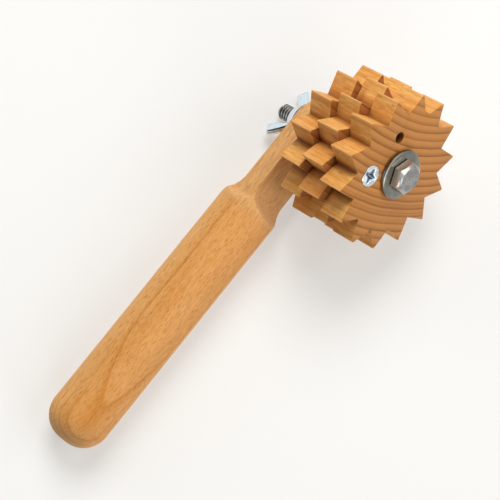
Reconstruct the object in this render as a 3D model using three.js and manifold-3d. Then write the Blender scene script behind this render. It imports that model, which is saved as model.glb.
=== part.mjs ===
// Clay texture wheel: three toothed beech discs on a hex bolt, carried by the flat neck of a round handle.
// Millimetres, +Z up. The tool lies on its back, as it is put down on a bench.
// Inside the tool group the bolt runs along +Y, from its head to the wing nut, and the handle along -X.

import * as THREE from 'three';
import { mergeVertices } from 'three/addons/utils/BufferGeometryUtils.js';
import Module from 'manifold-3d';

const wasm = await Module();
wasm.setup();

// Clearances
const seatGap = 0.3;
const discGap = 0.2;
const spinGap = 0.3;
const threadGap = 0.25;
const washerBoreGap = 0.28;
const wheelBoreGap = 0.4;
const handleBoreGap = 0.3;
const screwGap = 0.3;

// Toothed wheel
const toothCount = 14;
const toothTipRadius = 30.2;
const toothRootRadius = 22.6;
const toothTipEase = 0.6;
const discThickness = 10.3;
const firstToothDegrees = 8.3;
const middleDiscTurnDegrees = -10.2;
const backDiscTurnDegrees = -1.4;

// Lock screw and spare hole, both on one circle about the bolt
const screwCircleRadius = 14.9;
const lockScrewDegrees = 128.2;
const lockScrewHeadRadius = 4.1;
const lockScrewHeadLand = 0.3;
const lockScrewHeadDepth = 2.6;
const lockScrewShankRadius = 2.1;
const lockScrewLength = 25.4;
const lockScrewPoint = 4;
const blindHoleSpare = 1.5;
const spareHoleDegrees = 57.5;
const spareHoleRadius = 2;

// Hex bolt, a quarter inch thick; with these pieces on it, its shank is two and a half inches long
const boltRadius = 3.175;
const boltBeyondNut = 6.95;
const boltEndChamfer = 0.6;
const boltHeadAcrossFlats = 11.1;
const boltHeadHeight = 3.8;
const hexTurnDegrees = 36.5;
const hexChamferDegrees = 30;
const hexFaceShare = 0.82;

// Washers and jam nut
const frontWasherRadius = 9.4;
const smallWasherRadius = 7.95;
const washerThickness = 1.6;
const washerEase = 0.2;
const jamNutAcrossFlats = 11.1;
const jamNutHeight = 5.55;

// Wing nut
const wingNutBaseRadius = 6.6;
const wingNutTopRadius = 4.5;
const wingNutCollar = 1.2;
const wingNutHeight = 4.8;
const wingRootLow = 1.6;
const wingRootHigh = 4.6;
const wingReach = 12.4;
const wingReachRise = 9.1;
const wingRise = 11.65;
const wingRiseReach = 8;
const wingCornerEase = 1.1;
const wingBow = 0.7;
const wingThickness = 3;
const wingNutTurnDegrees = 10;

// Handle
const handleRadius = 11.9;
const handleLength = 148.6;
const handleEndRadius = 10.4;
const barOffset = 0.9;
const neckThickness = 8;
const neckHalfWidth = 9.4;
const neckLength = 30.8;
const neckSideLength = 36.5;
const coveRadius = 10;
const shoulderRise = 1.6;
const shoulderLength = 3;
const profileMargin = 0.3;

// Facets
const roundFacets = 32;
const smallFacets = 16;
const handleFacets = 64;
const endRings = 12;

// Places along the bolt
const frontDiscFace = 0;
const middleDiscFace = frontDiscFace + discThickness + discGap;
const backDiscFace = middleDiscFace + discThickness + discGap;
const wheelBack = backDiscFace + discThickness;
const frontWasherFace = frontDiscFace - spinGap - washerThickness;
const boltHeadUnderside = frontWasherFace - seatGap;
const boltHeadFace = boltHeadUnderside - boltHeadHeight;
const innerWasherFace = wheelBack + spinGap;
const jamNutFace = innerWasherFace + washerThickness + seatGap;
const neckFace = jamNutFace + jamNutHeight + seatGap;
const neckBack = neckFace + neckThickness;
const barMiddle = neckFace + neckThickness / 2 + barOffset;
const rearWasherFace = neckBack + seatGap;
const wingNutFace = rearWasherFace + washerThickness + seatGap;
const boltEnd = wingNutFace + wingNutHeight + boltBeyondNut;

// Sizes that follow from the ones above
const wheelBore = boltRadius + wheelBoreGap;
const handleBore = boltRadius + handleBoreGap;
const nutBore = boltRadius + threadGap;
const washerBore = boltRadius + washerBoreGap;
const screwHole = lockScrewShankRadius + screwGap;
const lockScrewAt = onScrewCircle(lockScrewDegrees);
const spareHoleAt = onScrewCircle(spareHoleDegrees);
const overcut = 1;

function onScrewCircle(degrees) {
  const angle = THREE.MathUtils.degToRad(degrees);
  return new THREE.Vector2(Math.cos(angle), Math.sin(angle)).multiplyScalar(screwCircleRadius);
}

// A closed body for cutting and joining
function toSolid(geometry) {
  const bare = geometry.clone();
  bare.deleteAttribute('normal');
  bare.deleteAttribute('uv');
  const merged = mergeVertices(bare, 1e-4);
  return new wasm.Manifold(new wasm.Mesh({
    numProp: 3,
    vertProperties: new Float32Array(merged.attributes.position.array),
    triVerts: new Uint32Array(merged.index.array),
  }));
}

function toGeometry(solid) {
  const mesh = solid.getMesh();
  const geometry = new THREE.BufferGeometry();
  geometry.setAttribute('position', new THREE.BufferAttribute(new Float32Array(mesh.vertProperties), 3));
  geometry.setIndex(new THREE.BufferAttribute(new Uint32Array(mesh.triVerts), 1));
  geometry.computeVertexNormals();
  return geometry;
}

// A round hole for an outline
function roundHole(radius, facets, centre = new THREE.Vector2()) {
  const points = [];
  for (let i = 0; i < facets; i += 1) {
    const angle = (2 * Math.PI * i) / facets;
    points.push(new THREE.Vector2(Math.cos(angle), Math.sin(angle)).multiplyScalar(radius).add(centre));
  }
  return new THREE.Path(points);
}

// An outline drawn in X and Z, given a thickness along the bolt
function plate(outline, face, thickness, curveSegments = 4) {
  const geometry = new THREE.ExtrudeGeometry(outline, {
    depth: thickness, bevelEnabled: false, curveSegments,
  });
  geometry.rotateX(Math.PI / 2);
  geometry.translate(0, face + thickness, 0);
  return geometry;
}

// A profile of radius and distance pairs, turned about the bolt's line or one beside it
function turned(profile, facets, centre = new THREE.Vector2()) {
  const points = profile.map(([radius, along]) => new THREE.Vector2(radius, along));
  const geometry = new THREE.LatheGeometry(points, facets);
  geometry.translate(centre.x, 0, centre.y);
  return geometry;
}

function rod(radius, from, to, facets, centre) {
  return toSolid(turned([[0, from], [radius, from], [radius, to], [0, to]], facets, centre));
}

// A ring of V teeth with eased tips
function toothedOutline(turnDegrees) {
  const shape = new THREE.Shape();
  const pitch = (2 * Math.PI) / toothCount;
  const start = THREE.MathUtils.degToRad(firstToothDegrees + turnDegrees);
  const at = (radius, angle) => new THREE.Vector2(Math.cos(angle), Math.sin(angle)).multiplyScalar(radius);
  shape.moveTo(...at(toothRootRadius, start - pitch / 2));
  for (let tooth = 0; tooth < toothCount; tooth += 1) {
    const angle = start + tooth * pitch;
    const tip = at(toothTipRadius, angle);
    const rootBefore = at(toothRootRadius, angle - pitch / 2);
    const rootAfter = at(toothRootRadius, angle + pitch / 2);
    const easeShare = toothTipEase / tip.distanceTo(rootAfter);
    shape.lineTo(...tip.clone().lerp(rootBefore, easeShare));
    shape.quadraticCurveTo(...tip, ...tip.clone().lerp(rootAfter, easeShare));
    shape.lineTo(...rootAfter);
  }
  return shape;
}

function frontDisc() {
  const outline = toothedOutline(0);
  outline.holes.push(roundHole(wheelBore, roundFacets));
  outline.holes.push(roundHole(spareHoleRadius, smallFacets, spareHoleAt));
  const disc = toSolid(plate(outline, frontDiscFace, discThickness));
  const countersink = toSolid(turned([
    [0, frontDiscFace - overcut],
    [lockScrewHeadRadius + screwGap, frontDiscFace - overcut],
    [lockScrewHeadRadius + screwGap, frontDiscFace + lockScrewHeadLand],
    [screwHole, frontDiscFace + lockScrewHeadDepth + screwGap],
    [screwHole, frontDiscFace + discThickness + overcut],
    [0, frontDiscFace + discThickness + overcut],
  ], roundFacets, lockScrewAt));
  return toGeometry(disc.subtract(countersink));
}

function middleDisc() {
  const outline = toothedOutline(middleDiscTurnDegrees);
  outline.holes.push(roundHole(wheelBore, roundFacets));
  outline.holes.push(roundHole(screwHole, smallFacets, lockScrewAt));
  return plate(outline, middleDiscFace, discThickness);
}

function backDisc() {
  const outline = toothedOutline(backDiscTurnDegrees);
  outline.holes.push(roundHole(wheelBore, roundFacets));
  const disc = toSolid(plate(outline, backDiscFace, discThickness));
  const floor = frontDiscFace + lockScrewLength + blindHoleSpare;
  return toGeometry(disc.subtract(rod(screwHole, backDiscFace - overcut, floor, smallFacets, lockScrewAt)));
}

// Countersunk wood screw that holds the three discs to each other
function lockScrew() {
  const point = frontDiscFace + lockScrewLength;
  return turned([
    [0, frontDiscFace],
    [lockScrewHeadRadius, frontDiscFace],
    [lockScrewHeadRadius, frontDiscFace + lockScrewHeadLand],
    [lockScrewShankRadius, frontDiscFace + lockScrewHeadDepth],
    [lockScrewShankRadius, point - lockScrewPoint],
    [0, point],
  ], smallFacets, lockScrewAt);
}

// A hexagon with its corners turned off at the front, and at the back too where asked
function hexBody(acrossFlats, face, height, chamferBack) {
  const cornerRadius = acrossFlats / Math.sqrt(3);
  const corners = [];
  for (let corner = 0; corner < 6; corner += 1) {
    const angle = THREE.MathUtils.degToRad(hexTurnDegrees + corner * 60);
    corners.push(new THREE.Vector2(Math.cos(angle), Math.sin(angle)).multiplyScalar(cornerRadius));
  }
  const faceRadius = (acrossFlats / 2) * hexFaceShare;
  const blankRadius = cornerRadius + profileMargin;
  const chamfer = (blankRadius - faceRadius) * Math.tan(THREE.MathUtils.degToRad(hexChamferDegrees));
  const back = face + height;
  const blank = [[0, face], [faceRadius, face], [blankRadius, face + chamfer]];
  if (chamferBack) blank.push([blankRadius, back - chamfer], [faceRadius, back]);
  else blank.push([blankRadius, back]);
  blank.push([0, back]);
  const prism = toSolid(plate(new THREE.Shape(corners), face, height));
  return prism.intersect(toSolid(turned(blank, roundFacets)));
}

function axleBolt() {
  const head = hexBody(boltHeadAcrossFlats, boltHeadFace, boltHeadHeight, false);
  const shank = toSolid(turned([
    [0, boltHeadFace + boltHeadHeight / 2],
    [boltRadius, boltHeadFace + boltHeadHeight / 2],
    [boltRadius, boltEnd - boltEndChamfer],
    [boltRadius - boltEndChamfer, boltEnd],
    [0, boltEnd],
  ], roundFacets));
  return toGeometry(head.add(shank));
}

function jamNut() {
  const body = hexBody(jamNutAcrossFlats, jamNutFace, jamNutHeight, true);
  const bore = rod(nutBore, jamNutFace - overcut, jamNutFace + jamNutHeight + overcut, roundFacets);
  return toGeometry(body.subtract(bore));
}

function washer(radius, face) {
  const back = face + washerThickness;
  return turned([
    [washerBore, face],
    [radius - washerEase, face],
    [radius, face + washerEase],
    [radius, back - washerEase],
    [radius - washerEase, back],
    [washerBore, back],
    [washerBore, face],
  ], roundFacets);
}

// One ear of the wing nut: reach from the bolt's line, and height above the nut's base
function earOutline() {
  const low = new THREE.Vector2(wingNutTopRadius, wingRootLow);
  const high = new THREE.Vector2((nutBore + wingNutTopRadius) / 2, wingRootHigh);
  const outer = new THREE.Vector2(wingReach, wingReachRise);
  const inner = new THREE.Vector2(wingRiseReach, wingRise);
  const across = outer.clone().sub(inner).normalize();
  const eased = (corner, towards) => corner.clone().lerp(towards, wingCornerEase / corner.distanceTo(towards));
  const bowLow = low.clone().add(outer).multiplyScalar(0.5).addScaledVector(across, wingBow);
  const bowHigh = high.clone().add(inner).multiplyScalar(0.5).addScaledVector(across, -wingBow);
  const shape = new THREE.Shape();
  shape.moveTo(high.x, wingRootLow);
  shape.lineTo(...low);
  shape.quadraticCurveTo(...bowLow, ...eased(outer, low));
  shape.quadraticCurveTo(...outer, ...eased(outer, inner));
  shape.lineTo(...eased(inner, outer));
  shape.quadraticCurveTo(...inner, ...eased(inner, high));
  shape.quadraticCurveTo(...bowHigh, ...high);
  return shape;
}

function wingNut() {
  const barrel = toSolid(turned([
    [0, wingNutFace],
    [wingNutBaseRadius, wingNutFace],
    [wingNutBaseRadius, wingNutFace + wingNutCollar],
    [wingNutTopRadius, wingNutFace + wingNutHeight],
    [0, wingNutFace + wingNutHeight],
  ], roundFacets));
  const earPlate = new THREE.ExtrudeGeometry(earOutline(), {
    depth: wingThickness, bevelEnabled: false, curveSegments: 6,
  });
  earPlate.translate(0, wingNutFace, -wingThickness / 2);
  const ear = toSolid(earPlate);
  const bore = rod(nutBore, wingNutFace - overcut, wingNutFace + wingRise + overcut, roundFacets);
  const geometry = toGeometry(barrel.add(ear).add(ear.rotate([0, 180, 0])).subtract(bore));
  return geometry.rotateY(THREE.MathUtils.degToRad(wingNutTurnDegrees));
}

// The turned bar of the handle, its far end rounded over
function roundBar() {
  const crown = handleRadius - handleEndRadius;
  const crownAt = handleLength - handleEndRadius;
  const profile = [[0, -neckHalfWidth - overcut], [handleRadius, -neckHalfWidth - overcut]];
  for (let ring = 0; ring <= endRings; ring += 1) {
    const angle = ((Math.PI / 2) * ring) / endRings;
    profile.push([crown + handleEndRadius * Math.cos(angle), crownAt + handleEndRadius * Math.sin(angle)]);
  }
  profile.push([0, handleLength]);
  const bar = turned(profile, handleFacets);
  bar.rotateZ(Math.PI / 2);
  bar.translate(0, barMiddle, 0);
  return toSolid(bar);
}

// How far a cove swings, and where its edge rolls over and runs out on the bar
function cove(depth) {
  const swing = Math.acos(1 - (depth - shoulderRise) / coveRadius);
  const edge = neckLength + coveRadius * Math.sin(swing);
  return { swing, edge, crest: edge + shoulderRise / Math.tan(swing), end: edge + shoulderLength };
}

// The handle seen along Z: the flat neck, then a cove on each side up to the bar
function handlePlan() {
  const front = barMiddle - handleRadius - profileMargin;
  const back = barMiddle + handleRadius + profileMargin;
  const near = neckHalfWidth + overcut;
  const far = handleLength + overcut;
  const frontCove = cove(neckFace - front);
  const backCove = cove(back - neckBack);
  const up = Math.PI / 2;
  const shape = new THREE.Shape();
  shape.moveTo(near, neckBack);
  shape.lineTo(near, neckFace);
  shape.lineTo(-neckLength, neckFace);
  shape.absarc(-neckLength, neckFace - coveRadius, coveRadius, up, up + frontCove.swing, false);
  shape.quadraticCurveTo(-frontCove.crest, front, -frontCove.end, front);
  shape.lineTo(-far, front);
  shape.lineTo(-far, back);
  shape.lineTo(-backCove.end, back);
  shape.quadraticCurveTo(-backCove.crest, back, -backCove.edge, back - shoulderRise);
  shape.absarc(-neckLength, neckBack + coveRadius, coveRadius, -up - backCove.swing, -up, false);
  const geometry = new THREE.ExtrudeGeometry(shape, {
    depth: 4 * handleRadius, bevelEnabled: false, curveSegments: 8,
  });
  return geometry.translate(0, 0, -2 * handleRadius);
}

// The handle seen along the bolt: a round end, straight sides, then a widening to the bar
function handleSide() {
  const wide = handleRadius + profileMargin;
  const wideAt = neckLength + coveRadius + profileMargin;
  const between = (neckSideLength + wideAt) / 2;
  const far = handleLength + overcut;
  const shape = new THREE.Shape();
  shape.moveTo(-far, -wide);
  shape.lineTo(-wideAt, -wide);
  shape.bezierCurveTo(-between, -wide, -between, -neckHalfWidth, -neckSideLength, -neckHalfWidth);
  shape.lineTo(0, -neckHalfWidth);
  shape.absarc(0, 0, neckHalfWidth, -Math.PI / 2, Math.PI / 2, false);
  shape.lineTo(-neckSideLength, neckHalfWidth);
  shape.bezierCurveTo(-between, neckHalfWidth, -between, wide, -wideAt, wide);
  shape.lineTo(-far, wide);
  return plate(shape, barMiddle - 2 * handleRadius, 4 * handleRadius, 12);
}

function handle() {
  const bore = rod(handleBore, neckFace - overcut, neckBack + overcut, roundFacets);
  const body = roundBar().intersect(toSolid(handlePlan())).intersect(toSolid(handleSide()));
  return toGeometry(body.subtract(bore));
}

// Finishes
const beech = { color: 0xd9a066, roughness: 0.6, metalness: 0 };
const beechEndGrain = { color: 0xc98f62, roughness: 0.65, metalness: 0 };
const steel = { color: 0xb4b6b4, roughness: 0.35, metalness: 1 };
const zinc = { color: 0xc6d3da, roughness: 0.28, metalness: 1 };

function part(name, geometry, finish) {
  const mesh = new THREE.Mesh(geometry, new THREE.MeshStandardMaterial(finish));
  mesh.name = name;
  return mesh;
}

const tool = new THREE.Group();
tool.add(part('handle', handle(), beech));
tool.add(part('axle_bolt', axleBolt(), steel));
tool.add(part('front_washer', washer(frontWasherRadius, frontWasherFace), steel));
tool.add(part('front_disc', frontDisc(), beechEndGrain));
tool.add(part('middle_disc', middleDisc(), beechEndGrain));
tool.add(part('back_disc', backDisc(), beechEndGrain));
tool.add(part('lock_screw', lockScrew(), zinc));
tool.add(part('inner_washer', washer(smallWasherRadius, innerWasherFace), steel));
tool.add(part('jam_nut', jamNut(), zinc));
tool.add(part('rear_washer', washer(smallWasherRadius, rearWasherFace), steel));
tool.add(part('wing_nut', wingNut(), zinc));

// At rest the wheel's back edge, the bolt's end and the handle's far end touch the bench
const restTilt = Math.atan2(toothTipRadius - toothTipEase / 2 - boltRadius, boltEnd - wheelBack);
const benchToBoltLine = boltEnd * Math.sin(restTilt) + boltRadius * Math.cos(restTilt);
const benchToBarLine = benchToBoltLine - barMiddle * Math.sin(restTilt) - handleRadius;
const handleDroop = Math.asin(benchToBarLine / ((handleLength - handleEndRadius) * Math.cos(restTilt)));
tool.rotation.y = -handleDroop;

const laidDown = new THREE.Group();
laidDown.add(tool);
laidDown.rotation.x = -restTilt;

// The origin is on the bench, under the middle of the tool
const group = new THREE.Group();
group.add(laidDown);
group.updateMatrixWorld(true);
const bounds = new THREE.Box3().setFromObject(laidDown, true);
const middle = bounds.getCenter(new THREE.Vector3());
laidDown.position.set(-middle.x, -middle.y, -bounds.min.z);

export default group;
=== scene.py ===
"""Looks of the clay texture wheel: beech handle, toothed discs and their hardware.

Every piece is shaped in the tool's own axes, in millimetres: the bolt runs along +Y from its head
to the wing nut, and the handle along -X. A placing then lays the finished piece on the bench.
"""

from __future__ import annotations

import logging
from dataclasses import dataclass
from enum import Enum
from functools import cache
from math import acos, atan2, ceil, copysign, cos, hypot, pi, radians, sin, sqrt, tan
from typing import Iterable, Sequence

import bmesh
import bpy
from mathutils import Matrix, Vector

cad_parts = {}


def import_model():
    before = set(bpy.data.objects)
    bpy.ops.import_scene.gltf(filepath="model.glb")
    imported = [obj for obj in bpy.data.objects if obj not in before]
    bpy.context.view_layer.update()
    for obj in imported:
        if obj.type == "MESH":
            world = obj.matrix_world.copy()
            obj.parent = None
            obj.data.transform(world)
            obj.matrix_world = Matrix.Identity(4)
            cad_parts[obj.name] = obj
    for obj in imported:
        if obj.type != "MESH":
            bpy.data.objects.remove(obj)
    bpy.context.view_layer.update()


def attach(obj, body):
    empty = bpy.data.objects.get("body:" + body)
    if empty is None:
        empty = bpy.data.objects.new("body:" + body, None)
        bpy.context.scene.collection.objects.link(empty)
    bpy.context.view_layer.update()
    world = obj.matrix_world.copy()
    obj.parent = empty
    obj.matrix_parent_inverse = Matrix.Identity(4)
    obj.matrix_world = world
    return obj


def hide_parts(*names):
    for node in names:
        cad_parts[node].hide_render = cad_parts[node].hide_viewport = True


LOG = logging.getLogger("clay_texture_wheel")
MM = 0.001
TURN = 2.0 * pi

Colour = tuple[float, float, float, float]
Triple = tuple[float, float, float]
Point = tuple[float, float]
Points = Iterable[Point]
Socket = bpy.types.NodeSocket
Mesh = bpy.types.Mesh
Edges = list[bmesh.types.BMEdge]
Fed = dict[int | str, object] | Sequence[object]


def srgb(*seen: int) -> Colour:
    """Turns red, green and blue as seen on screen, 0 to 255, into the linear colour for shaders."""
    shares = (tone / 255 for tone in seen)
    return (*(t / 12.92 if t <= 0.04045 else ((t + 0.055) / 1.055) ** 2.4 for t in shares), 1.0)


@dataclass(frozen=True)
class Placing:
    """Where the tool lies: turned by two angles in radians, then shifted."""

    droop: float = 0.017559964409457
    tilt: float = 0.727727499412452
    shift_mm: Triple = (59.331264308, -13.802211103, 43.135110689)

    def turned(self) -> Matrix:
        """Gives the rotation from the tool's axes to the row's."""
        return Matrix.Rotation(-self.tilt, 4, "X") @ Matrix.Rotation(-self.droop, 4, "Y")

    def matrix(self) -> Matrix:
        """Gives the whole placing, from the tool's millimetres to the row's metres."""
        return Matrix.Scale(MM, 4) @ Matrix.Translation(self.shift_mm) @ self.turned()


PLACING = Placing()


class Body(Enum):
    """The CAD bodies that pieces ride on."""

    HANDLE = "handle_and_axle"
    WHEEL = "wheel"
    WASHER = "washer"
    NUT = "nut"


class Slot(Enum):
    """The record's material slots."""

    HANDLE_WOOD = "handle_wood"
    DISC_WOOD = "disc_wood"
    STEEL = "steel"
    ZINC = "zinc"


class Grain(Enum):
    """The way the wood's fibres run in a piece."""

    ALONG_HANDLE = "handle"
    ALONG_BOLT = "bolt"


class Graph:
    """A node tree, with short calls that add nodes and join them."""

    def __init__(self, tree: bpy.types.NodeTree) -> None:
        """Takes a tree and empties it."""
        self.tree = tree
        self.tree.nodes.clear()

    def feed(self, socket: Socket, value: object) -> None:
        """Feeds a socket.

        Args:
            socket: The socket.
            value: A number, a colour or another socket.
        """
        if isinstance(value, Socket):
            self.tree.links.new(value, socket)
        else:
            socket.default_value = value

    def node(self, kind: str, fed: Fed = (), **settings: object) -> bpy.types.Node:
        """Adds a node and feeds it.

        Args:
            kind: The node's type name, without its first part.
            fed: Numbers, colours or sockets for its inputs, in order or by name.
            **settings: Attributes to set on it.

        Returns:
            The new node.
        """
        node = self.tree.nodes.new("ShaderNode" + kind)
        for key, value in settings.items():
            setattr(node, key, value)
        for key, value in fed.items() if isinstance(fed, dict) else enumerate(fed):
            self.feed(node.inputs[key], value)
        return node

    def math(self, operation: str, *values: object) -> Socket:
        """Works out a Math node's result for numbers or sockets."""
        return self.node("Math", values, operation=operation).outputs[0]

    def times(self, first: object, second: object) -> Socket:
        """Multiplies two numbers or sockets."""
        return self.math("MULTIPLY", first, second)

    def hypot(self, first: Socket, second: Socket) -> Socket:
        """Gives the length over two legs at a right angle."""
        return self.math("SQRT", self.math("MULTIPLY_ADD", first, first, self.times(second, second)))

    def span(self, value: Socket, low: float, high: float, start: float = 0.0, end: float = 1.0) -> Socket:
        """Maps the range from low to high smoothly onto the one from start to end."""
        fed = (value, low, high, start, end)
        return self.node("MapRange", fed, interpolation_type="SMOOTHSTEP").outputs[0]

    def blend(self, factor: Socket, first: object, second: object) -> Socket:
        """Mixes two colours, the factor saying how much of the second shows."""
        return self.node("Mix", {0: factor, 6: first, 7: second}, data_type="RGBA").outputs[2]

    def tint(self, colour: object, tone: object, value: Socket, over: Point, share: float = 1.0) -> Socket:
        """Lets a tone come into a colour over a range of a value."""
        return self.blend(self.span(value, *over, 0.0, share), colour, tone)

    def vector(self, *parts: object) -> Socket:
        """Joins three numbers or sockets to a vector."""
        return self.node("CombineXYZ", parts).outputs[0]

    def arrow(self, operation: str, *vectors: object) -> bpy.types.Node:
        """Adds a Vector Math node for vectors or their sockets."""
        return self.node("VectorMath", vectors, operation=operation)

    def noise(self, vector: Socket, scale: float, detail: float = 2.0, rough: float = 0.5) -> Socket:
        """Reads a Noise texture at a vector."""
        fed = {"Vector": vector, "Scale": scale, "Detail": detail, "Roughness": rough}
        return self.node("TexNoise", fed).outputs[0]

    def coords(self, kind: str) -> Socket:
        """Gives one kind of texture coordinates."""
        return self.node("TexCoord").outputs[kind]

    def seen(self) -> Socket:
        """Tells who looks at the surface.

        Returns:
            1 where it is the camera, or a mirror or glass in front of it.
        """
        path = self.node("LightPath").outputs
        mirrored = self.math("MAXIMUM", path["Is Glossy Ray"], path["Is Transmission Ray"])
        return self.math("MAXIMUM", path["Is Camera Ray"], mirrored)


class Coat(Graph):
    """A material's node tree: a Principled shader and what feeds it."""

    def __init__(self, name: str) -> None:
        """Starts a material that holds only the shader and its output.

        Args:
            name: The material's name.
        """
        self.material = bpy.data.materials.new(name)
        self.material.use_nodes = True
        super().__init__(self.material.node_tree)
        self.shader = self.node("BsdfPrincipled")
        self.output = self.node("OutputMaterial", {"Surface": self.shader.outputs["BSDF"]})

    def put(self, **values: object) -> None:
        """Feeds the shader's sockets, whose names are written with a low line for each space."""
        for name, value in values.items():
            self.feed(self.shader.inputs[name.replace("_", " ")], value)

    def place(self) -> tuple[Socket, Socket, Socket]:
        """Reads the tool's own axes from Object coordinates.

        Returns:
            X, Y and Z in the tool's millimetres.
        """
        fed = {
            "Vector": self.coords("Object"),
            "Location": PLACING.matrix().to_translation(),
            "Rotation": PLACING.turned().to_euler("XYZ"),
            "Scale": (MM, MM, MM),
        }
        mapping = self.node("Mapping", fed, vector_type="TEXTURE")
        return tuple(self.node("SeparateXYZ", (mapping.outputs[0],)).outputs)

    def facing(self, direction: Triple) -> Socket:
        """Gives how squarely the surface faces a direction.

        Args:
            direction: The direction in the tool's axes.

        Returns:
            1 where it faces it or faces straight away from it, 0 where it lies along it.
        """
        turned = PLACING.turned().to_3x3() @ Vector(direction)
        node = self.arrow("DOT_PRODUCT", self.coords("Normal"), turned)
        return self.math("ABSOLUTE", node.outputs["Value"])

    def bump(self, height: Socket, strength: float, distance: float) -> None:
        """Adds a Bump node to the shader, distance in millimetres."""
        fed = {"Strength": strength, "Distance": distance * MM, "Height": height}
        self.put(Normal=self.node("Bump", fed).outputs[0])


@dataclass(frozen=True)
class Figure:
    """A noise drawn out along the fibres, and the range of its values that shows."""

    stretch: float
    scale: float
    shown: Point = (0.0, 1.0)
    detail: float = 2.0
    rough: float = 0.5


FIBRES = Figure(0.05, 4.6, (0.32, 0.74), rough=0.6)
STREAKS = Figure(0.03, 0.8, (0.48, 0.7))
CLOUDS = Figure(0.2, 0.16, (0.4, 0.75))
PORES = Figure(0.2, 3.2, (0.5, 0.75), rough=0.7)
BLUSH = Figure(0.1, 0.11, (0.45, 0.62), detail=1.0)
WANDER = Figure(0.1, 0.05)

# Millimetres over which a growth ring fades, and from one lathe mark to the next
RING_FADE = 0.3
LATHE_MARK = 1.2

# Shares and shapes of the beech's marks, of its painted shade and of its painted light
FAINT_LINE = 0.3
FAINT_RING = 0.2
CLOSE_RING = 0.7
END_GRAIN = (0.45, 0.95)
QUARTER_SAWN = (0.93, 0.99)
QUARTER_SHARE = 0.25
# Share of the painted light on the handle's edges
EDGE_LIGHT_SHARE = 0.3
PORE_SHARE = 0.35
END_FLECK_SHARE = 0.2
FLECK_SHAPE = (1.3, 7.6, 1.8)
FLECK_REACH = 0.08
# Painted shade in the teeth's roots: its tone as shares of the late end grain, and how much of it falls on
# the faces between the teeth
ROOT_SHADE_TONE = (0.75, 0.36, 0.3)
ROOT_FACE_SHADE_SHARE = 0.45
SANDED_LIGHT_SHARE = 0.45
SAW_LINE_SHARE = 0.6
SHOULDER_PATCH_SHARE = 0.65
# Painted shade in the spare hole: its share and tone
HOLE_SHADE_SHARE = 0.78
HOLE_SHADE = srgb(92, 44, 16)

# Distances from the bolt's axis, or from the spare hole's centre, between which a disc's painted root
# shade, its pale tips and the spare hole's painted shade come in
ROOT_SHADE_SIDES = (25.2, 22.7)
ROOT_SHADE_FACES = (22.2, 23.2)
TIPS = (28.9, 30.0)
HOLE_SHADE_REACH = (2.3, 2.0)

# Places along the bolt or the handle between which a mark, painted shade or painted light comes in
PAST_FRONT_DISC = (10.35, 10.45)
NECK = (-46.0, -38.0)
SHOULDER_PATCH_FROM = (-41.6, -40.6)
SHOULDER_PATCH_TO = (-37.4, -38.8)
THREAD_FROM = (20.0, 21.0)
HEAD_SIDES = (0.0, -1.0)
HEAD_FACE = (-5.6, -5.9)


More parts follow.
